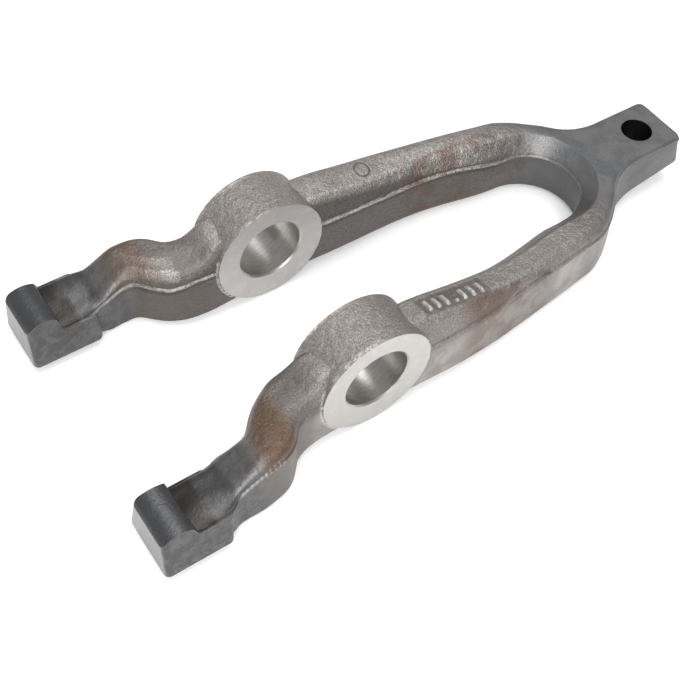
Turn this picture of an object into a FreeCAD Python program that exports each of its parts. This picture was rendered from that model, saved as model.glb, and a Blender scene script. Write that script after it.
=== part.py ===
import FreeCAD, Part
import math
import os

# Clutch release fork: one closed-die forging, millimetres.
# Origin: middle of the pivot-shaft axis.  +X: towards the tang.  +Y: along the
# pivot bore.  +Z: up.  The two arms are mirror images in the XZ plane.

V = FreeCAD.Vector

# ---- pivot bosses ----
bore_d = 25.0            # pivot shaft bore
boss_wall = 9.4          # wall of the boss around the bore
boss_low = 1.3           # boss circle sits this much below the bore axis
boss_gap = 47.6          # clear space between the machined inner faces
boss_w = 19.4            # width of one boss over its machined faces
bore_lead = 0.6          # lead-in chamfer of the bore

# ---- arms and yoke ----
crotch_x = 104.0         # pivot axis to the centre of the yoke bend
crotch_r = 18.8          # inner radius of the yoke bend, at the parting line
yoke_w = 16.2            # width of each arm where the bend starts
arm_sink = 0.5           # arm side lies this far below the boss face
sole = 23.2              # depth of the underside below the pivot axis
draft = 0.9              # how far the slot walls open out below the parting line
outer_round = 4.5        # width of the rounding along the outer top edge
inner_round = 5.4        # width of the rounding along the inner top edge
top_fall = 1.4           # the top of an arm falls this much to its inner side
sole_round = 4.4         # rounding of the lower inner edge of an arm
bend_sole = 1.8          # the same edge along the offset bend
trim = 0.5               # height the trimmed parting line stands out
trim_root = 1.0          # half the width of the parting line at its root
trim_tip = 0.4           # half the width of its flat, where the flash was cut

# ---- tang ----
neck_len = 42.0          # bend centre to the parallel part of the tang
tang_len = 24.0          # parallel part, at the top
tang_w = 23.6            # width of the tang
tang_under = 15.0        # depth of the tang's underside at its end
end_lean = 0.25          # slope of the end face, run per mm of depth
end_round = 1.7          # rounding of the upright corners of the end
rod_hole_d = 12.5        # push-rod hole
rod_hole_in = 13.4       # push-rod hole to the end face

# ---- toes ----
toe_end = 89.0           # pivot axis to the toe end face, at the top
block_len = 26.5         # length of the toe block
toe_mid = 47.1           # half the distance between the two cam pads
pad_w = 16.8             # width of a cam pad
pad_len = 12.2           # length of a cam pad
pad_top = 1.8            # crest of the pad, below the pivot axis
pad_edge = 4.8           # toe edge of the pad, below the pivot axis
shelf_z = 7.8            # block behind the pad, below the pivot axis
shelf_tilt = 0.12        # the shelf rises this much per mm to the outer side
foot_w = 25.4            # width of the toe at its foot
foot_z = 20.8            # depth of the foot below the pivot axis

boss_r = bore_d / 2 + boss_wall
face_in = boss_gap / 2
face_out = face_in + boss_w
side_in = face_in + 0.2
side_out = face_out - arm_sink
yoke_half = crotch_r + yoke_w
tang_half = tang_w / 2
tang_x = crotch_x + neck_len
tang_end = tang_x + tang_len
heel_x = toe_end - block_len
block_half = toe_mid + pad_w / 2 + 0.6
arm_out = toe_mid + 6.4
arm_in = toe_mid - 7.9
shelf_out = block_half + 0.8
shelf_in = toe_mid - pad_w / 2 - 1.2
span = crotch_x


def bend(f):
    """x of a place in the offset bend: f = 0 at the boss, 1 at the toe block."""
    return -(boss_r + f * (heel_x - boss_r))


def share(f):
    """Half width in the neck: f = 1 at the yoke, 0 at the tang."""
    return tang_half + f * (yoke_half - tang_half)


def line(keys, x):
    """Smooth monotone curve through short (x, value) keys, read at x."""
    if x <= keys[0][0]:
        return keys[0][1]
    if x >= keys[-1][0]:
        return keys[-1][1]
    n = len(keys)
    steps = [keys[i + 1][0] - keys[i][0] for i in range(n - 1)]
    rise = [(keys[i + 1][1] - keys[i][1]) / steps[i] for i in range(n - 1)]
    slope = [rise[0]]
    for i in range(1, n - 1):
        a, b = rise[i - 1], rise[i]
        slope.append(0.0 if a * b <= 0 else 2 * a * b / (a + b))
    slope.append(rise[-1])
    i = 0
    while x > keys[i + 1][0]:
        i += 1
    h = steps[i]
    t = (x - keys[i][0]) / h
    a = keys[i][1] * (1 + 2 * t) * (1 - t) ** 2 + slope[i] * h * t * (1 - t) ** 2
    b = keys[i + 1][1] * t * t * (3 - 2 * t) + slope[i + 1] * h * t * t * (t - 1)
    return a + b


# plan view: outer side, half width
OUTER = [(-toe_end, shelf_out), (-heel_x - 3.6, shelf_out), (-heel_x - 1.8, shelf_out - 0.5),
         (-heel_x + 1.2, arm_out + 1.2), (bend(0.87), arm_out + 0.5),
         (bend(0.70), arm_out + 0.4), (bend(0.50), arm_out - 0.6), (bend(0.384), arm_out - 3.0),
         (bend(0.31), arm_out - 6.2), (bend(0.236), side_out + 1.9),
         (bend(0.15), side_out + 0.8), (bend(0.0), side_out + 0.1), (0.0, side_out),
         (0.32 * span, side_out), (0.48 * span, side_out - 0.8),
         (0.62 * span, side_out - 2.4), (0.75 * span, yoke_half + 3.5),
         (0.88 * span, yoke_half + 1.8), (span, yoke_half)]
# plan view: the yoke shoulder and the neck
NECK = [(span + 0.12 * neck_len, share(0.955)), (span + 0.21 * neck_len, share(0.875)),
        (span + 0.30 * neck_len, share(0.775)), (span + 0.38 * neck_len, share(0.66)),
        (span + 0.45 * neck_len, share(0.555)), (span + 0.525 * neck_len, share(0.435)),
        (span + 0.63 * neck_len, share(0.235)), (span + 0.72 * neck_len, share(0.13)),
        (span + 0.82 * neck_len, share(0.055)), (span + 0.92 * neck_len, share(0.012)),
        (tang_x, tang_half)]
# plan view: inner side, half width of the slot
INNER = [(-toe_end - 12.0, shelf_in), (-heel_x - 5.0, shelf_in), (-heel_x, shelf_in + 0.6),
         (bend(0.9), arm_in - 1.3), (bend(0.8), arm_in - 0.9),
         (bend(0.69), arm_in - 1.1), (bend(0.60), side_in + 11.4),
         (bend(0.52), side_in + 7.8), (bend(0.42), side_in + 4.4),
         (bend(0.32), side_in + 2.3), (bend(0.2), side_in + 0.9), (bend(0.0), side_in),
         (0.23 * span, side_in), (0.54 * span, side_in + 0.6), (0.67 * span, side_in),
         (0.77 * span, crotch_r + 3.6), (0.885 * span, crotch_r + 1.4),
         (0.97 * span, crotch_r + 0.1), (span, crotch_r)]
# side view: top of the arms
TOP = [(-toe_end + pad_len - 2.0, -6.6), (-heel_x - 9.0, -5.4), (-heel_x, -3.4),
       (bend(0.88), -0.5), (bend(0.77), 2.4), (bend(0.66), 4.3), (bend(0.5), 5.0),
       (bend(0.25), 5.8), (bend(0.13), 7.0), (bend(0.06), 8.6), (bend(0.0), 11.0), (0.0, 13.8),
       (0.14 * span, 14.0), (0.24 * span, 13.0), (0.35 * span, 10.6), (0.48 * span, 8.5),
       (0.62 * span, 7.0), (0.75 * span, 6.1), (0.88 * span, 5.0), (span, 3.9),
       (span + 0.4 * neck_len, 2.6), (tang_x, 1.9)]
# side view: parting line on the outer and on the inner side
PART_OUT = [(-heel_x - 12.0, -7.9), (-heel_x - 4.0, -7.7), (-heel_x, -6.6),
            (bend(0.88), -4.2), (bend(0.77), -2.2), (bend(0.66), -0.4), (bend(0.5), 0.3),
            (0.3 * span, 0.5), (0.55 * span, 1.2), (0.75 * span, 1.0),
            (0.88 * span, 0.2), (span, -0.6), (tang_x, 0.6)]
PART_IN = [(-toe_end, -10.4), (-heel_x - 4.0, -9.6), (bend(0.88), -5.6),
           (bend(0.66), -3.0), (bend(0.45), -3.2), (bend(0.33), -1.8), (bend(0.2), 0.2),
           (0.2 * span, 0.8), (0.35 * span, -0.3), (0.55 * span, -1.3),
           (0.75 * span, -1.4), (0.88 * span, -2.6), (0.97 * span, -4.4),
           (span, -4.6)]
# side view: depth of the underside
LOW = [(-toe_end, foot_z), (-heel_x - 4.0, foot_z + 0.8), (bend(0.92), sole + 0.3),
       (bend(0.75), sole + 0.5), (bend(0.6), sole - 0.4), (bend(0.45), sole - 1.2),
       (bend(0.3), sole - 1.8), (bend(0.2), sole - 2.2), (bend(0.1), sole - 2.6),
       (bend(0.0), sole - 2.9), (0.15 * span, sole - 2.7),
       (0.35 * span, sole - 1.6), (0.55 * span, sole - 0.6), (0.8 * span, sole),
       (1.1 * span, sole), (span + 0.62 * neck_len, sole - 1.4),
       (tang_x, tang_under + 4.2)]
# side view: draft of the slot walls, and rounding of the slot's lower edge
OPEN = [(bend(0.0), 0.6 * draft), (0.4 * span, draft), (span, 1.5 * draft)]
SOLE_EDGE = [(bend(0.1), bend_sole), (0.1 * span, sole_round), (0.8 * span, sole_round),
             (span, 0.75 * sole_round)]
# how full the rounding of the slot's upper edge is: 1 is round, 0 is a bevel
ROLL = [(bend(0.2), 0.9), (0.3 * span, 0.9), (0.75 * span, 0.35), (span, 0.15)]


def corner(p, q, c, full=1.0):
    """Rounding from p to q with its square corner at c; full = 1 is a quarter-ellipse."""
    k = 0.5523 * full
    curve = Part.BezierCurve()
    curve.setPoles([p, p + (c - p) * k, q + (c - q) * k, q])
    return curve.toShape()


def wire(pts, curved):
    """Closed wire; curved maps the index of a side to its corner and fullness."""
    edges = []
    for i in range(len(pts)):
        p, q = pts[i], pts[(i + 1) % len(pts)]
        edges.append(corner(p, q, *curved[i]) if i in curved else Part.makeLine(p, q))
    return Part.Wire(edges)


def envelope_section(x, half, part, top, low, rim, lean, flare):
    """Cross-section of the whole fork at x, before the slot is cut."""
    def pt(y, z):
        return V(x - lean * z, y, z)

    foot = line([(bend(0.4), 1.6), (0.0, 3.0)], x)
    wall = half + flare
    r = [(wall - foot, -low), (wall, -low + foot), (half, part - trim_root),
         (half + trim, part - trim_tip), (half + trim, part + trim_tip),
         (half - 0.2, part + trim_root), (half - rim, top)]
    pts = [pt(y, z) for y, z in r] + [pt(-y, z) for y, z in reversed(r)]
    curved = {0: (pt(wall, -low),), 5: (pt(half - 0.2, top),),
              7: (pt(-half + 0.2, top),), 12: (pt(-wall, -low),)}
    return wire(pts, curved)


def slot_profile(half, part, top, low, open_out, edge, roll):
    """Right-hand side of the slot's cross-section, from below to above."""
    wall = half + open_out
    r = [(wall + edge, -low - 20), (wall + edge, -low - 0.1),
         (wall, -low + edge), (half, part - trim_root), (half - trim, part - trim_tip),
         (half - trim, part + trim_tip), (half + 0.2, part + trim_root),
         (half + inner_round, top - top_fall), (half + inner_round + 7.0, top + 0.3),
         (half + inner_round + 7.0, top + 20)]
    bends = {1: (wall, -low - 0.1, 1.0), 6: (half + 0.2, top - top_fall, roll)}
    return r, bends


def slot_at(x):
    """The slot's seven governing sizes at x."""
    return [line(keys, x) for keys in (INNER, PART_IN, TOP, LOW, OPEN, SOLE_EDGE, ROLL)]


def slot_section(x):
    """Full cross-section of the slot between the arms at x."""
    r, bends = slot_profile(*slot_at(x))
    n = len(r)
    pts = [V(x, y, z) for y, z in r] + [V(x, -y, z) for y, z in reversed(r)]
    curved = {}
    for i, (y, z, full) in bends.items():
        curved[i] = (V(x, y, z), full)
        curved[2 * n - 2 - i] = (V(x, -y, z), full)
    return wire(pts, curved)


def crotch_cut():
    """The rounded end of the slot, turned about the centre of the bend."""
    r, bends = slot_profile(*slot_at(span))
    pts = [V(span, y, z) for y, z in r]
    pts = [V(span, 0, r[0][1])] + pts + [V(span, 0, r[-1][1])]
    curved = {i + 1: (V(span, y, z), full) for i, (y, z, full) in bends.items()}
    half = Part.Face(wire(pts, curved))
    return half.revolve(V(span, 0, 0), V(0, 0, -1), 180)


def stations(a, b, step):
    """Evenly spread places from a to b, about one step apart."""
    n = max(2, int(round((b - a) / step)))
    return [a + (b - a) * i / n for i in range(n + 1)]


def envelope():
    """Outside of the whole fork, before the slot between the arms is cut."""
    wires = []
    first = -toe_end + pad_len - 1.0
    places = stations(first, bend(0.0), 3.6) + stations(bend(0.0), span, 10.0)[1:]
    for x in places:
        rim = outer_round + 0.8 * line([(-40.0, 0.0), (0.0, 1.0), (70.0, 0.0)], x)
        wires.append(envelope_section(x, line(OUTER, x), line(PART_OUT, x),
                                      line(TOP, x), line(LOW, x), rim, 0.0, 0.0))
    for x in stations(span, tang_x, 4.2)[1:]:
        t = (x - span) / neck_len
        rim = outer_round - t * (outer_round - 1.8)
        wires.append(envelope_section(x, line([OUTER[-1]] + NECK, x), line(PART_OUT, x),
                                      line(TOP, x), line(LOW, x), rim,
                                      end_lean * t, 0.4 * t))
    return Part.makeLoft(wires, True, False).fuse(tang_bar(wires[-1]))


def tang_bar(start):
    """The parallel part of the tang, its upright end corners rounded."""
    wires = [start]
    for a in (0, 30, 60, 85):
        back = end_round * (1 - math.sin(math.radians(a)))
        side = end_round * (1 - math.cos(math.radians(a)))
        wires.append(envelope_section(tang_end - back, tang_half - side, 0.2, 1.5,
                                      tang_under + 0.18 * back, 1.8, end_lean, 0.4))
    return Part.makeLoft(wires, True, True)


def slot():
    """The space between the arms, its edges rounded top and bottom."""
    places = stations(-toe_end - 10.0, bend(0.0), 3.4)
    places += stations(bend(0.0), span, 10.0)[1:]
    run = Part.makeLoft([slot_section(x) for x in places], True, False)
    return run.fuse(crotch_cut())


def boss(s):
    """One pivot boss; s is +1 for the left arm, -1 for the right arm."""
    return Part.makeCylinder(boss_r, boss_w, V(0.2, s * face_in, -boss_low), V(0, s, 0))


def bore(s):
    """The bore through one boss with a lead-in chamfer at both faces."""
    r = bore_d / 2
    n = bore_lead
    hole = Part.makeCylinder(r, boss_w + 4, V(0, s * (face_in - 2), 0), V(0, s, 0))
    lead = Part.makeCone(r + n + 1, r, n + 1, V(0, s * (face_in - 1), 0), V(0, s, 0))
    back = Part.makeCone(r + n + 1, r, n + 1, V(0, s * (face_out + 1), 0), V(0, -s, 0))
    return hole.fuse([lead, back])


def face_cut(s):
    """What the facing cutter takes off both sides of one boss."""
    r = boss_r + 0.9
    inner = Part.makeCylinder(r, 12, V(0.2, s * (face_in - 12), -boss_low), V(0, s, 0))
    outer = Part.makeCylinder(r, 12, V(0.2, s * face_out, -boss_low), V(0, s, 0))
    return inner.fuse(outer)


def rect(x0, x1, x2, y0, y1, z):
    """Outline from x0 to x1 on the inner side y0 and to x2 on the outer side y1."""
    pts = [V(x0, y0, z), V(x1, y0, z), V(x2, y1, z), V(x0, y1, z)]
    return Part.makePolygon(pts + [pts[0]])


def toe(s):
    """Toe block with its convex cam pad, flared towards the foot."""
    p = pad_w / 2
    f = foot_w / 2
    m = toe_mid
    low = rect(-toe_end - 1.2, -heel_x - 0.8, -heel_x - 2.8, m - f, m + f, -foot_z)
    high = rect(-toe_end, -heel_x, -heel_x, m - p - 0.1, m + p + 0.9, 0.0)
    block = Part.makeLoft([low, high], True, True)
    posts = [e for e in block.Edges if e.BoundBox.ZLength > 10.0]
    block = block.makeFillet(2.2, posts)
    soles = [e for e in block.Edges if e.BoundBox.ZMax < -foot_z + 0.1]
    block = block.makeFillet(1.3, soles)
    block = block.cut(above_toe())
    if s < 0:
        block = block.mirror(V(0, 0, 0), V(0, 1, 0))
    return block


def above_toe():
    """Everything over the cam pad and over the shelf behind it."""
    sides = [above_outline(toe_mid + y) for y in (-foot_w, foot_w)]
    return Part.makeLoft(sides, True, True)


def above_outline(y):
    """Side view of the space over the toe, in the plane at y."""
    e = -toe_end
    b = e + pad_len
    shelf = -shelf_z + shelf_tilt * (y - toe_mid)
    brow = V(b - 1.0, y, -pad_top - 1.6)
    edge = V(e, y, -pad_edge)
    arc = Part.Arc(edge, V(e + 0.55 * pad_len, y, -pad_top), brow).toShape()
    back = [brow, V(b + 0.4, y, shelf), V(-heel_x + 6, y, shelf), V(-heel_x + 6, y, 20),
            V(e - 6, y, 20), V(e - 6, y, -pad_edge), edge]
    return Part.Wire([arc] + Part.makePolygon(back).Edges)


def fork():
    body = envelope().cut(slot())
    body = body.fuse([boss(1), boss(-1)])
    body = body.fuse([toe(1), toe(-1)])
    for s in (1, -1):
        body = body.cut(face_cut(s))
        body = body.cut(bore(s))
    rod = V(tang_end - rod_hole_in, 0, -2 * sole)
    body = body.cut(Part.makeCylinder(rod_hole_d / 2, 4 * sole, rod))
    return body.removeSplitter()


if __name__ == "__main__":
    os.makedirs("parts", exist_ok=True)
    body = fork()
    body.Solids[0].exportStep("parts/fork.step")
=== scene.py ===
import math
from types import SimpleNamespace

import bmesh
import bpy
from mathutils import Matrix, Vector, noise
from mathutils.bvhtree import BVHTree

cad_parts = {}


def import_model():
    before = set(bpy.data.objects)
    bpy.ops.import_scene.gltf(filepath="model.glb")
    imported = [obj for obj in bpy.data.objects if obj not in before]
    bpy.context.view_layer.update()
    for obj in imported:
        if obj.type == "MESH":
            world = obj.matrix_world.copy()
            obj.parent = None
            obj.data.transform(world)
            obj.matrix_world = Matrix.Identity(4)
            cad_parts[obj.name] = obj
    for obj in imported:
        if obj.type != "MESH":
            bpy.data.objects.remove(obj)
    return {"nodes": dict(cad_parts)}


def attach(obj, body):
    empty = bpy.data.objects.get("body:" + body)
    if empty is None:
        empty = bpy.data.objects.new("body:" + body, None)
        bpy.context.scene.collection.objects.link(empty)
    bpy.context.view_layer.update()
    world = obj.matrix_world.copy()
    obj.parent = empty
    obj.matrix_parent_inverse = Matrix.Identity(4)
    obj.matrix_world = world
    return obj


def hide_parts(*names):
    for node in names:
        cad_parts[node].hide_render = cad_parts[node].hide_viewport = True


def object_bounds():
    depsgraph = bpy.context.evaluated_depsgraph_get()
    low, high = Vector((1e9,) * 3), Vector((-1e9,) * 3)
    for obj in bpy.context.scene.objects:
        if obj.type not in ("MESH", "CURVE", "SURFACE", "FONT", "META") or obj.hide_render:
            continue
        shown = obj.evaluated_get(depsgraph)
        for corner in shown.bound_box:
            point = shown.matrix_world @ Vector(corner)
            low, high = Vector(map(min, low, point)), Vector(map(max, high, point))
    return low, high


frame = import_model()
cad = frame["nodes"]["fork"]
cad_low, cad_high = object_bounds()

MM = 0.001

# ---- where things are on the forging, in millimetres ----
BOSS_DROP = 1.3                  # middle of the boss below the bore axis
RING_RADIUS = 21.85              # outline of a machined ring
RING_INNER = (23.70, 23.90)      # |y| of the two inner rings
RING_OUTER = (43.08, 43.30)      # |y| of the two outer rings
BORE_LENGTH = (23.2, 43.8)       # |y| over which a bore runs
BORE_REACH = (13.6, 13.9)        # radius where the bore's wall and lead-in end
ROD_HOLE_X = 156.6               # push-rod hole in the tang
ROD_HOLE_REACH = (6.6, 6.3)
PAD_END = (-77.8, -77.0)         # where a cam pad stops
SHELF = (-75.6, -62.0)           # the low shelf behind it
PUNCH_AT = (45.7, 33.6)          # plain punched ring on the far arm
PUNCH_RING = (2.75, 3.15)
MARK_FIELD_X = (23.4, 50.6)      # painted shade round the raised bars
MARK_FIELD_Y = (-37.6, -30.2)
FLASH_X = (-66.0, 140.0)         # stretch of the parting line that is torn
FLASH_Z = (-12.0, 3.6)
FLASH_STEP = 1.4                 # shortest edge that is divided
FLASH_ANGLE = (12.0, 85.0)       # degrees between the faces that meet there
SMOOTH_BELOW = 32.0              # degrees; sharper edges stay edges

# ---- the raised bars on the near arm, in millimetres ----
BARS = 7
DOT = 3                          # this one is a dot
BAR_START = (25.6, -33.9)
BAR_PITCH = (3.75, -0.10)
BAR_SIZE = (1.7, 5.8)
DOT_SIZE = (1.5, 1.6)
DOT_DROP = 2.1
BAR_HEIGHT = 1.0
BAR_SUNK = 0.12                  # the bar's edge lies this far under the skin
BAR_ROOT = 0.6                   # and its underside this far

# ---- the stage, in metres ----
FLOOR_HALF = 6.0
FLOOR_GAP = 0.00005              # the floor lies this far under the lowest point
GLOW_FROM = (0.6, 2.2)           # distance over which the floor turns white
GLOW = (0.22, 0.75)              # seen by the camera alone
WORLD_LIGHT = 0.40               # strength as a light
WORLD_SEEN = 1.0                 # strength to the camera: white
LIGHTS_AIM = (0.02, 0.0, 0.0)
SENSOR = 36.0                    # millimetres, as is the lens
LENS = 60.3
CAMERA_AT = (-0.142614, -0.206997, 0.310627)
CAMERA_BACK = (-0.36392618, -0.47502709, 0.80119099)
CAMERA_ABOVE = (0.42510481, 0.68065254, 0.59665569)

# ---- colours, linear ----
SKIN = ((0.150, 0.135, 0.126), (0.375, 0.348, 0.328))
SKIN_CLOUD = (0.150, 0.130, 0.121)
SKIN_WARM = (0.205, 0.165, 0.148)
SPECK = (0.82, 0.79, 0.76)
SIDE = ((0.270, 0.245, 0.228), (0.400, 0.372, 0.350))
SIDE_GRIT = (0.180, 0.165, 0.155)
BEND_SIDE = ((0.098, 0.086, 0.079), (0.150, 0.136, 0.126))
SLOT_WALL_SHADE = ((0.075, 0.066, 0.062), (0.150, 0.136, 0.126))
BEAD_HIGHLIGHT = (0.50, 0.475, 0.45)
BEND_TINT = (0.170, 0.145, 0.128)
BEND_SHADE = (0.115, 0.098, 0.088)
FLASH_SHADOW = (0.050, 0.044, 0.042)
FLASH = (0.58, 0.55, 0.52)
RUST = ((0.078, 0.046, 0.030), (0.150, 0.088, 0.056))
BLUE = ((0.118, 0.126, 0.136), (0.170, 0.170, 0.170))
BLUE_GRIT = (0.092, 0.095, 0.100)
TANG_SIDE_SHADE = (0.060, 0.062, 0.066)
TOE = ((0.070, 0.071, 0.074), (0.112, 0.113, 0.116))
STRAW = (0.150, 0.112, 0.088)
PAD = (0.058, 0.060, 0.063)
SHELF_SKIN = (0.044, 0.043, 0.044)
CREASE = (0.028, 0.022, 0.019)
HOLE_SCALE_AND_SHADE = (0.012, 0.012, 0.012)
TOE_FACE = (0.300, 0.296, 0.290)
MARK_SHADE = (0.095, 0.082, 0.076)
MARK_HIGHLIGHT = (0.50, 0.475, 0.45)
PUNCH = (0.060, 0.055, 0.052)
RING = ((0.52, 0.505, 0.485), (0.61, 0.595, 0.575))
HONED = ((0.44, 0.425, 0.405), (0.56, 0.545, 0.52))
STAIN = (0.20, 0.145, 0.105)
FLOOR = (0.86, 0.86, 0.86)
WHITE = (1.0, 1.0, 1.0)


def rgba(colour):
    """A plain colour with its alpha; a socket stays as it is."""
    return (*colour, 1.0) if isinstance(colour, tuple) else colour


# ---------------------------------------------------------------- shader tools
class Graph:
    """Small helper that wires shader nodes by expression."""

    def __init__(self, owner):
        owner.use_nodes = True
        self.tree = owner.node_tree
        self.tree.nodes.clear()

    def add(self, kind, **settings):
        made = self.tree.nodes.new(kind)
        for key, value in settings.items():
            setattr(made, key, value)
        return made

    def put(self, socket, value):
        if isinstance(value, bpy.types.NodeSocket):
            self.tree.links.new(value, socket)
        else:
            socket.default_value = value

    def calc(self, operation, *values, clamp=False):
        made = self.add("ShaderNodeMath", operation=operation, use_clamp=clamp)
        for socket, value in zip(made.inputs, values):
            self.put(socket, value)
        return made.outputs[0]

    def chain(self, operation, values):
        out = values[0]
        for value in values[1:]:
            out = self.calc(operation, out, value)
        return out

    def mul(self, *values):
        return self.chain("MULTIPLY", values)

    def plus(self, *values):
        return self.chain("ADD", values)

    def most(self, *values):
        return self.chain("MAXIMUM", values)

    def less(self, a, b):
        return self.calc("SUBTRACT", a, b)

    def inv(self, a):
        return self.calc("SUBTRACT", 1.0, a, clamp=True)

    def reach(self, a, b):
        """Distance from the origin of the plane of a and b."""
        return self.calc("SQRT", self.plus(self.mul(a, a), self.mul(b, b)))

    def ramp(self, value, low, high, out_low=0.0, out_high=1.0):
        """Smooth step from out_low at low to out_high at high."""
        made = self.add("ShaderNodeMapRange", interpolation_type="SMOOTHSTEP")
        for socket, given in zip(made.inputs, (value, low, high, out_low, out_high)):
            self.put(socket, given)
        return made.outputs[0]

    def band(self, value, low, high, soft):
        """1 between low and high, falling to 0 over soft at both ends."""
        return self.mul(self.ramp(value, low - soft, low),
                        self.ramp(value, high, high + soft, 1.0, 0.0))

    def noise(self, vector, scale, detail, rough, warp=0.0):
        made = self.add("ShaderNodeTexNoise")
        self.put(made.inputs["Vector"], vector)
        self.put(made.inputs["Scale"], scale)
        self.put(made.inputs["Detail"], detail)
        self.put(made.inputs["Roughness"], rough)
        self.put(made.inputs["Distortion"], warp)
        return made.outputs[0]

    def cells(self, vector, scale):
        made = self.add("ShaderNodeTexVoronoi", feature="F1")
        self.put(made.inputs["Vector"], vector)
        self.put(made.inputs["Scale"], scale)
        self.put(made.inputs["Randomness"], 1.0)
        return made.outputs["Distance"]

    def blend(self, factor, a, b, mode="MIX"):
        made = self.add("ShaderNodeMix", data_type="RGBA", blend_type=mode)
        self.put(made.inputs[0], factor)
        self.put(made.inputs[6], rgba(a))
        self.put(made.inputs[7], rgba(b))
        return made.outputs[2]

    def mix(self, factor, a, b):
        made = self.add("ShaderNodeMix", data_type="FLOAT")
        self.put(made.inputs[0], factor)
        self.put(made.inputs[2], a)
        self.put(made.inputs[3], b)
        return made.outputs[0]

    def grey(self, value):
        made = self.add("ShaderNodeCombineColor")
        for socket in made.inputs[:3]:
            self.put(socket, value)
        return made.outputs[0]

    def bump(self, height, distance):
        made = self.add("ShaderNodeBump")
        self.put(made.inputs["Strength"], 1.0)
        self.put(made.inputs["Distance"], distance)
        self.put(made.inputs["Height"], height)
        return made.outputs[0]

    def split(self, vector):
        made = self.add("ShaderNodeSeparateXYZ")
        self.put(made.inputs[0], vector)
        return made.outputs

    def finish(self, shader):
        made = self.add("ShaderNodeOutputMaterial")
        self.put(made.inputs[0], shader)


# ---------------------------------------------------------------- the material
def coordinates(g):
    """Place in millimetres, the way a surface faces, and the noises."""
    s = SimpleNamespace()
    where = g.add("ShaderNodeTexCoord")
    scaled = g.add("ShaderNodeVectorMath", operation="SCALE")
    g.put(scaled.inputs[0], where.outputs["Object"])
    g.put(scaled.inputs["Scale"], 1.0 / MM)
    mm = scaled.outputs[0]
    s.x, s.y, s.z = g.split(mm)
    s.nx, s.ny, s.nz = g.split(where.outputs["Normal"])
    s.side = g.calc("ABSOLUTE", s.y)
    s.out_ny = g.mul(s.ny, g.calc("SIGN", s.y))
    s.near = g.ramp(s.y, -6.0, 6.0, 1.0, 0.0)
    s.far = g.inv(s.near)
    s.up = g.ramp(s.nz, 0.15, 0.6)
    s.broad = g.noise(mm, 0.11, 4.0, 0.55, 0.4)
    s.patch = g.noise(mm, 0.30, 4.0, 0.60, 0.5)
    s.grain = g.noise(mm, 1.15, 4.0, 0.62)
    s.fine = g.noise(mm, 2.9, 3.0, 0.60)
    s.ragged = g.noise(mm, 0.5, 3.0, 0.6)
    s.pits = g.cells(mm, 1.1)
    s.specks = g.cells(mm, 1.9)
    s.shift = g.mul(g.less(s.broad, 0.5), 22.0)
    return s


def cut_places(g, s):
    """The machined rings and bores."""
    s.ring_r = g.reach(s.x, g.plus(s.z, BOSS_DROP))
    s.edge = g.plus(RING_RADIUS, g.mul(g.less(s.ragged, 0.5), 0.9))
    flat = g.calc("ABSOLUTE", s.ny)
    planes = g.most(g.band(s.side, *RING_INNER, 0.12), g.band(s.side, *RING_OUTER, 0.12))
    s.ring = g.mul(planes, g.ramp(flat, 0.90, 0.97),
                   g.ramp(g.less(s.ring_r, s.edge), -0.05, 0.25, 1.0, 0.0))
    s.bore = g.mul(g.ramp(g.reach(s.x, s.z), *BORE_REACH, 1.0, 0.0),
                   g.band(s.side, *BORE_LENGTH, 0.2), g.ramp(flat, 0.90, 0.96, 1.0, 0.0))
    s.cut = g.most(s.ring, s.bore)
    s.uncut = g.inv(s.cut)


def worn_places(g, s):
    """Where the skin is tinted, rubbed or dull, and where shade and a highlight are painted.
    """
    x, z, nz = s.x, s.z, s.nz
    s.tang = g.ramp(g.plus(x, s.shift), 92.0, 126.0)
    # painted shade on the steeper sides of the tang
    s.tang_side = g.mul(g.ramp(nz, 0.55, 0.30), g.ramp(x, 112.0, 122.0))
    s.toe = g.ramp(g.plus(x, g.mul(s.shift, 0.4)), -46.0, -54.0)
    s.pad = g.mul(g.ramp(x, *PAD_END, 1.0, 0.0), g.ramp(nz, 0.55, 0.8))
    s.shelf = g.mul(g.band(x, *SHELF, 2.5), g.ramp(nz, 0.5, 0.8))
    s.crease = g.mul(g.band(x, -77.4, -71.0, 2.4), g.ramp(z, -5.0, -6.0),
                     g.ramp(nz, 0.1, 0.4))
    s.toe_face = g.mul(g.ramp(s.nx, -0.9, -0.8, 1.0, 0.0), g.ramp(x, -86.0, -88.0))
    # wall of the rod hole, darkened with dark scale and painted shade
    s.hole = g.mul(g.ramp(g.reach(g.less(x, ROD_HOLE_X), s.y), *ROD_HOLE_REACH),
                   g.ramp(g.calc("ABSOLUTE", nz), 0.6, 0.4))
    # inward-facing walls of the slot, darkened partly with painted shade
    s.inner = g.mul(g.ramp(s.out_ny, -0.70, -0.45, 1.0, 0.0), s.uncut)
    s.outer = g.mul(g.ramp(s.out_ny, 0.55, 0.85), s.uncut, g.ramp(z, -0.5, -2.5))
    along = g.most(g.band(x, 16.0, 108.0, 6.0), g.band(x, -49.0, -37.0, 4.0))
    # painted highlight along the rounded inner top edge of the arms, which is also smoother
    s.bead = g.mul(g.band(s.out_ny, -0.74, -0.30, 0.16), g.ramp(nz, 0.25, 0.55),
                   s.uncut, along)
    s.bend = g.most(g.mul(s.far, 0.72, g.band(x, -52.0, -46.0, 9.0)),
                    g.mul(s.near, g.band(x, -47.0, -39.0, 6.0)))


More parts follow.
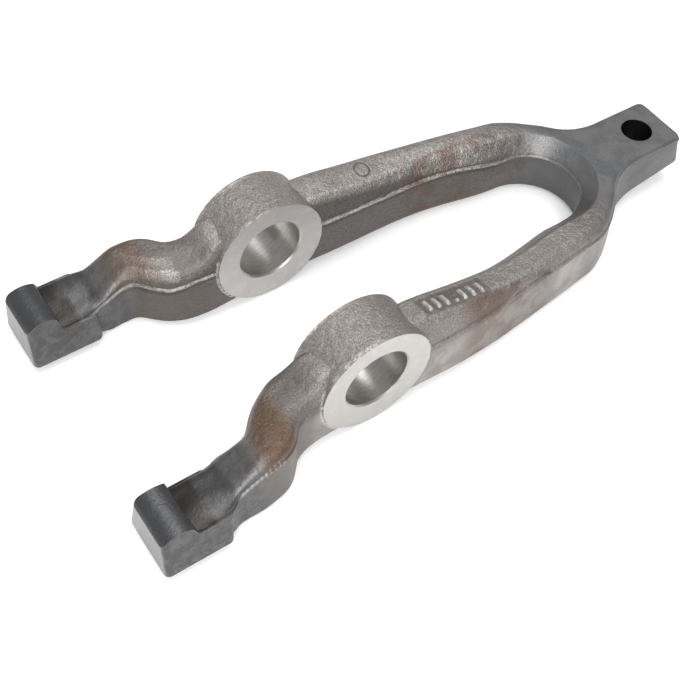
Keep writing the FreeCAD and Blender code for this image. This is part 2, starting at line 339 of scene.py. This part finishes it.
def flash_places(g, s):
    """The torn flash line, the painted shadow under it and the nicks along it."""
    x, z = s.x, s.z
    # the height of the parting line, which drops towards the tang and the toes
    flash_z = g.plus(0.7, g.ramp(x, 20.0, 60.0, 0.0, -2.1), g.ramp(x, 82.0, 104.0, 0.0, -3.2),
                     g.ramp(x, -28.0, -41.0, 0.0, -3.7), g.ramp(x, -50.0, -67.0, 0.0, -6.6))
    off = g.plus(g.less(z, flash_z), g.mul(g.less(s.patch, 0.5), 1.6))
    facing_in = g.mul(g.ramp(s.out_ny, 0.25, -0.05), s.uncut, g.ramp(x, 112.0, 104.0),
                      g.ramp(x, -60.0, -50.0))
    torn = g.mul(facing_in, g.band(off, -0.25, 0.35, 0.32), g.ramp(s.grain, 0.38, 0.50))
    nick_z = g.plus(0.3, g.ramp(x, -44.0, -66.0, 0.0, -7.5))
    nicks = g.mul(g.band(g.less(z, nick_z), -0.3, 1.4, 0.3), g.ramp(s.y, -30.0, -40.0),
                  g.band(x, -60.0, -43.0, 2.0), g.ramp(s.out_ny, -0.1, 0.2),
                  g.ramp(g.calc("SINE", g.mul(x, 3.6)), 0.1, 0.6, 0.0, 0.7))
    rims = g.most(g.band(s.side, 23.0, 24.6, 0.5), g.band(s.side, 42.0, 43.4, 0.5))
    seam = g.mul(rims, g.band(g.less(s.ring_r, s.edge), 0.1, 0.8, 0.3),
                 g.ramp(x, 4.0, -6.0), g.ramp(s.grain, 0.40, 0.50))
    # painted shadow in a band just under the flash line
    s.trough = g.mul(facing_in, g.band(off, -2.3, -0.8, 0.6))
    s.bright_line = g.most(g.mul(torn, g.ramp(x, -20.0, 10.0, 0.62, 0.90)), seam, nicks)


def brown_places(g, s):
    """Rust on the bends, and brown streaks along two edges of the arms."""
    rust = g.mul(s.bend, s.up, g.ramp(s.patch, 0.25, 0.52, 0.60, 1.0))
    rim = g.mul(s.near, g.band(s.x, 44.0, 112.0, 10.0), g.band(s.side, 38.6, 45.0, 1.3),
                g.ramp(s.broad, 0.36, 0.54))
    lip = g.mul(s.far, g.band(s.x, 66.0, 100.0, 9.0), g.band(s.side, 22.0, 29.0, 1.6),
                g.ramp(s.broad, 0.38, 0.58))
    s.brown = g.most(rust, g.mul(rim, 0.8), g.mul(lip, 0.75))


def forged_skin(g, s):
    """Fine pale speckle and warmer clouds; smoother sides, darker slot walls partly painted
    as shade, and a painted highlight on the rounded inner edge.
    """
    skin = g.blend(g.ramp(s.fine, 0.33, 0.66), *SKIN)
    skin = g.blend(g.mul(g.ramp(s.grain, 0.46, 0.64), 0.42), skin, SKIN_CLOUD)
    skin = g.blend(g.mul(g.ramp(s.patch, 0.50, 0.68), 0.42), skin, SKIN_WARM)
    skin = g.blend(g.mul(g.ramp(s.specks, 0.20, 0.07), g.ramp(s.grain, 0.50, 0.42), 0.85),
                   skin, SPECK)
    side = g.blend(g.ramp(s.broad, 0.38, 0.62), *SIDE)
    side = g.blend(g.mul(g.ramp(s.fine, 0.45, 0.65), 0.20), side, SIDE_GRIT)
    dull = g.blend(g.ramp(s.patch, 0.40, 0.60), *BEND_SIDE)
    side = g.blend(g.ramp(s.x, -24.0, -34.0), side, dull)
    skin = g.blend(g.mul(s.outer, 0.88), skin, side)
    # slot walls made darker: partly painted shade where the arms face and shade each other
    wall = g.blend(g.ramp(s.fine, 0.38, 0.64), *SLOT_WALL_SHADE)
    skin = g.blend(g.mul(s.inner, 0.80), skin, wall)
    # painted highlight on the rounded inner edge
    return g.blend(g.mul(s.bead, g.ramp(s.fine, 0.36, 0.56), 0.50), skin, BEAD_HIGHLIGHT)


def heat_tint(g, s):
    """Blue-grey of the neck and tang with painted shade on the tang's sides, darker grey of
    the toes.
    """
    blue = g.blend(g.ramp(s.broad, 0.38, 0.60), *BLUE)
    blue = g.blend(g.mul(g.ramp(s.fine, 0.5, 0.66), 0.22), blue, BLUE_GRIT)
    blue = g.blend(g.mul(s.tang_side, 0.55), blue, TANG_SIDE_SHADE)
    return g.blend(s.toe, blue, g.blend(g.ramp(s.patch, 0.40, 0.62), *TOE))


def weathered(g, s, skin):
    """Rust, flash line with a painted shadow under it, heat tint, painted shade on the bends
    and the dark places of the toes over the skin.
    """
    shaded = g.mul(g.band(s.x, -49.0, -27.0, 7.0), g.inv(s.bead), 0.58)
    skin = g.blend(g.mul(s.bend, 0.45), skin, BEND_TINT)
    skin = g.blend(shaded, skin, BEND_SHADE)
    # painted shadow under the flash line
    skin = g.blend(g.mul(s.trough, 0.6), skin, FLASH_SHADOW)
    skin = g.blend(g.mul(s.bright_line, 0.8), skin, FLASH)
    rust = g.blend(g.ramp(s.fine, 0.30, 0.62), *RUST)
    skin = g.blend(g.mul(s.brown, s.uncut, 0.86), skin, rust)
    worn = g.mul(g.most(s.tang, g.mul(s.toe, 0.90)), g.less(0.88, g.mul(s.brown, 0.55)))
    skin = g.blend(worn, skin, heat_tint(g, s))
    straw = g.mul(g.band(g.plus(s.x, s.shift), 104.0, 112.0, 6.0),
                  g.ramp(s.patch, 0.40, 0.58))
    skin = g.blend(g.mul(straw, 0.40), skin, STRAW)
    skin = g.blend(g.mul(s.pad, 0.85), skin, PAD)
    skin = g.blend(g.mul(s.shelf, 0.60), skin, SHELF_SKIN)
    skin = g.blend(g.mul(s.crease, 0.85), skin, CREASE)
    # near-black rod hole wall: dark scale and painted shade
    skin = g.blend(s.hole, skin, HOLE_SCALE_AND_SHADE)
    return g.blend(g.mul(s.toe_face, 0.75), skin, TOE_FACE)


def marked(g, s, skin, mark):
    """Painted shade round the raised bars, a painted highlight on the bars, and the punched
    ring.
    """
    on_top = g.ramp(s.z, 4.0, 6.0)
    mark_shade_field = g.mul(g.band(s.x, *MARK_FIELD_X, 1.2), g.band(s.y, *MARK_FIELD_Y, 1.0), on_top)
    # painted shade in a patch round the raised bars
    skin = g.blend(g.mul(mark_shade_field, 0.62 * (1.0 - mark)), skin, MARK_SHADE)
    # painted highlight: the raised bars lighter all over
    skin = g.blend(0.75 * mark, skin, MARK_HIGHLIGHT)
    from_punch = g.reach(g.less(s.x, PUNCH_AT[0]), g.less(s.y, PUNCH_AT[1]))
    s.punch = g.mul(g.band(from_punch, *PUNCH_RING, 0.22), on_top)
    return g.blend(g.mul(s.punch, 0.65), skin, PUNCH)


def machined(g, s, skin):
    """Bright rings and honed bores, laid over the skin."""
    turned = g.noise(g.plus(g.mul(s.ring_r, 3.0), g.mul(s.side, 0.01)), 2.2, 4.0, 0.7)
    stretched = g.add("ShaderNodeCombineXYZ")
    for socket, axis, stretch in zip(stretched.inputs, (s.x, s.y, s.z), (0.25, 2.5, 0.25)):
        g.put(socket, g.mul(axis, stretch))
    s.streak = g.noise(stretched.outputs[0], 1.0, 4.0, 0.6)
    bright = g.blend(g.ramp(g.most(s.streak, turned), 0.4, 0.75), *RING)
    bright = g.blend(1.0, bright, g.grey(g.mix(s.far, 1.0, 0.90)), "MULTIPLY")
    honed = g.blend(g.ramp(s.streak, 0.35, 0.65), *HONED)
    stain = g.mul(s.far, g.band(s.z, -9.0, -7.2, 1.6), g.ramp(s.x, 4.0, 8.0),
                  g.ramp(s.y, 31.0, 36.0))
    honed = g.blend(g.mul(stain, 0.55), honed, STAIN)
    return g.blend(s.bore, g.blend(s.ring, skin, bright), honed)


def roughness(g, s):
    """Rougher skin; smoother where it is rubbed, tinted or cut."""
    rough = g.mix(g.ramp(s.grain, 0.35, 0.65), 0.52, 0.40)
    rough = g.mix(g.most(s.outer, g.mul(s.tang, 0.6), s.toe), rough, 0.36)
    rough = g.mix(s.bead, rough, 0.34)
    rough = g.mix(s.ring, rough, 0.42)
    return g.mix(s.bore, rough, 0.36)


def relief(g, s):
    """Uneven skin with small pits, calmer where it is smooth; faint hone marks."""
    rise = g.plus(g.mul(s.patch, 1.3), g.mul(s.grain, 0.55), g.mul(s.fine, 0.22),
                  g.mul(g.ramp(s.pits, 0.30, 0.0), -0.22))
    calm = g.mix(g.most(s.outer, s.toe, s.tang), 1.0, 0.28)
    rise = g.less(g.mul(rise, calm, s.uncut), g.mul(s.punch, 0.6))
    rise = g.plus(rise, g.mul(s.bore, g.mul(s.streak, 0.02)))
    return g.bump(rise, 0.6 * MM)


def steel(name, mark=0.0):
    """Forged skin, heat tint, rust and machined faces; mark = 1 on the raised bars."""
    material = bpy.data.materials.new(name)
    g = Graph(material)
    s = coordinates(g)
    for find in (cut_places, worn_places, flash_places, brown_places):
        find(g, s)
    skin = marked(g, s, weathered(g, s, forged_skin(g, s)), mark)
    shader = g.add("ShaderNodeBsdfPrincipled")
    g.put(shader.inputs["Base Color"], machined(g, s, skin))
    g.put(shader.inputs["Metallic"], g.mix(s.cut, 0.62, 1.0))
    g.put(shader.inputs["Roughness"], roughness(g, s))
    g.put(shader.inputs["Normal"], relief(g, s))
    g.finish(shader.outputs[0])
    return material


# ---------------------------------------------------------------- the pieces
def place_in_scene(name, data):
    """A new object with this data, in the scene."""
    made = bpy.data.objects.new(name, data)
    bpy.context.scene.collection.objects.link(made)
    return made


def assign(piece, material):
    """Give the piece this one material."""
    piece.data.materials.clear()
    piece.data.materials.append(material)


def shade(piece):
    """Smooth shading that keeps the sharper edges."""
    shape = bmesh.new()
    shape.from_mesh(piece.data)
    for f in shape.faces:
        f.smooth = True
    for e in shape.edges:
        e.smooth = not (len(e.link_faces) == 2 and
                        e.calc_face_angle(0.0) > math.radians(SMOOTH_BELOW))
    shape.to_mesh(piece.data)
    shape.free()


def beside_flash(place):
    """Whether a place lies on the stretch that the flash line takes up."""
    x, z = place.x / MM, place.z / MM
    return FLASH_Z[0] < z < FLASH_Z[1] and FLASH_X[0] < x < FLASH_X[1]


def is_flash(e):
    """A longer edge that runs along the trimmed parting line."""
    if len(e.link_faces) != 2 or e.calc_length() < FLASH_STEP * MM:
        return False
    run = (e.verts[1].co - e.verts[0].co).normalized()
    flattest = max(abs(f.normal.z) for f in e.link_faces)
    return (beside_flash((e.verts[0].co + e.verts[1].co) / 2)
            and abs(run.z) < 0.5 and flattest < 0.93
            and FLASH_ANGLE[0] < math.degrees(e.calc_face_angle(0.0)) < FLASH_ANGLE[1])


def tear_flash(shape):
    """Break the parting line into the small ragged steps a trimming die leaves."""
    for cuts in (2, 1):
        line = [e for e in shape.edges if is_flash(e)]
        bmesh.ops.subdivide_edges(shape, edges=line, cuts=cuts)
    shape.normal_update()
    points = [v for v in shape.verts if beside_flash(v.co) and abs(v.normal.z) < 0.8
              and any(is_flash(e) for e in v.link_edges)]
    for v in points:
        away = Vector((v.normal.x, v.normal.y, 0.0)).normalized()
        depth = noise.noise(v.co * 420.0) * 0.5 + noise.noise(v.co * 1300.0) * 0.5
        v.co -= away * (0.12 + 0.30 * abs(depth)) * MM
        v.co.z += 0.22 * noise.noise(v.co * 700.0 + Vector((7.0, 3.0, 1.0))) * MM
    bmesh.ops.triangulate(shape, faces=[f for f in shape.faces if len(f.verts) > 3])


def forging():
    """A copy of the CAD piece with its parting line torn, for the skin."""
    data = cad.data.copy()
    data.name = "forging"
    piece = place_in_scene("forging", data)
    shape = bmesh.new()
    shape.from_mesh(data)
    bmesh.ops.remove_doubles(shape, verts=shape.verts[:], dist=1e-6)
    shape.normal_update()
    tear_flash(shape)
    shape.to_mesh(data)
    shape.free()
    shade(piece)
    return piece


def surface_of(piece):
    """Search tree over the piece, to lay small raised marks on it."""
    shape = bmesh.new()
    shape.from_mesh(piece.data)
    tree = BVHTree.FromBMesh(shape)
    shape.free()
    return tree


def raised(tree, centre, size):
    """A softly rounded closed bar that follows the surface under it."""
    across, along = 8, 14
    points, under, faces = [], [], []
    for i in range(across + 1):
        for j in range(along + 1):
            u, v = 2 * i / across - 1, 2 * j / along - 1
            x = centre[0] * MM + u * size[0] / 2 * MM
            y = centre[1] * MM + v * size[1] / 2 * MM
            hit, normal, _, _ = tree.ray_cast(Vector((x, y, 0.1)), Vector((0, 0, -1)))
            lift = BAR_HEIGHT * (1 - abs(u) ** 4) * (1 - abs(v) ** 6) - BAR_SUNK
            points.append(hit + normal * lift * MM)
            under.append(hit - normal * BAR_ROOT * MM)
    # top and bottom first, then the wall between their rims
    n, step = len(points), along + 1
    for i in range(across):
        for j in range(along):
            a = i * step + j
            faces.append((a, a + step, a + step + 1, a + 1))
            faces.append((n + a, n + a + 1, n + a + step + 1, n + a + step))
    rim = [i * step for i in range(across)] + [across * step + j for j in range(along)]
    rim += [i * step + along for i in range(across, 0, -1)] + list(range(along, 0, -1))
    for a, b in zip(rim, rim[1:] + rim[:1]):
        faces.append((a, n + a, n + b, b))
    return points + under, faces


def part_marks(tree):
    """Plain raised bars where a forging carries its raised marking."""
    points, faces = [], []
    for k in range(BARS):
        x = BAR_START[0] + BAR_PITCH[0] * k
        y = BAR_START[1] + BAR_PITCH[1] * k
        dot = k == DOT
        centre = (x, y - DOT_DROP) if dot else (x, y)
        some, quads = raised(tree, centre, DOT_SIZE if dot else BAR_SIZE)
        faces += [tuple(i + len(points) for i in q) for q in quads]
        points += some
    data = bpy.data.meshes.new("raised_bars")
    data.from_pydata(points, [], faces)
    for f in data.polygons:
        f.use_smooth = True
    return place_in_scene("raised_bars", data)


# ---------------------------------------------------------------- the stage
def area_light(name, place, size, power):
    """A square softbox that looks at the middle of the fork."""
    lamp = bpy.data.lights.new(name, "AREA")
    lamp.shape = "RECTANGLE"
    lamp.size = lamp.size_y = size
    lamp.energy = power
    light = place_in_scene(name, lamp)
    light.location = place
    light.rotation_mode = "QUATERNION"
    aim = Vector(LIGHTS_AIM) - Vector(place)
    light.rotation_quaternion = aim.to_track_quat("-Z", "Y")


def floor():
    """A pale floor that turns white towards its far edge."""
    data = bpy.data.meshes.new("floor")
    half, height = FLOOR_HALF, cad_low.z - FLOOR_GAP
    corners = [(-half, -half, height), (half, -half, height), (half, half, height),
               (-half, half, height)]
    data.from_pydata(corners, [], [(0, 1, 2, 3)])
    piece = place_in_scene("floor", data)
    material = bpy.data.materials.new("pale_floor")
    g = Graph(material)
    paint = g.add("ShaderNodeBsdfDiffuse")
    g.put(paint.inputs["Color"], rgba(FLOOR))
    place = g.add("ShaderNodeTexCoord")
    away = g.add("ShaderNodeVectorMath", operation="LENGTH")
    g.put(away.inputs[0], place.outputs["Object"])
    level = g.ramp(away.outputs["Value"], *GLOW_FROM, *GLOW)
    path = g.add("ShaderNodeLightPath")
    glow = g.add("ShaderNodeEmission")
    g.put(glow.inputs["Color"], rgba(WHITE))
    g.put(glow.inputs["Strength"], g.mul(path.outputs["Is Camera Ray"], level))
    both = g.add("ShaderNodeAddShader")
    g.put(both.inputs[0], paint.outputs[0])
    g.put(both.inputs[1], glow.outputs[0])
    g.finish(both.outputs[0])
    assign(piece, material)


def world():
    """White to the camera, dimmer as a light."""
    made = bpy.data.worlds.new("studio")
    bpy.context.scene.world = made
    g = Graph(made)
    path = g.add("ShaderNodeLightPath")
    level = g.add("ShaderNodeMapRange")
    g.put(level.inputs["Value"], path.outputs["Is Camera Ray"])
    g.put(level.inputs["To Min"], WORLD_LIGHT)
    g.put(level.inputs["To Max"], WORLD_SEEN)
    back = g.add("ShaderNodeBackground")
    g.put(back.inputs["Color"], rgba(WHITE))
    g.put(back.inputs["Strength"], level.outputs["Result"])
    out = g.add("ShaderNodeOutputWorld")
    g.put(out.inputs[0], back.outputs[0])


def camera():
    """The photograph's viewing angle, worked out from the bores and faced sides."""
    data = bpy.data.cameras.new("camera")
    data.sensor_width = SENSOR
    data.lens = LENS
    made = place_in_scene("camera", data)
    back = Vector(CAMERA_BACK).normalized()
    above = Vector(CAMERA_ABOVE)
    right = above.cross(back).normalized()
    above = back.cross(right)
    turn = Matrix((right, above, back)).transposed().to_4x4()
    made.matrix_world = Matrix.Translation(CAMERA_AT) @ turn
    bpy.context.scene.camera = made


piece = forging()
assign(piece, steel("forged_steel"))
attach(piece, "root")
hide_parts("fork")

bars = part_marks(surface_of(piece))
assign(bars, steel("forged_marks", mark=1.0))
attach(bars, "root")

floor()
world()
area_light("key", (-0.5, -0.75, 0.75), 0.7, 11.0)
area_light("top", (0.1, 0.1, 1.0), 0.8, 9.0)
camera()

scene = bpy.context.scene
scene.view_settings.view_transform = "Standard"
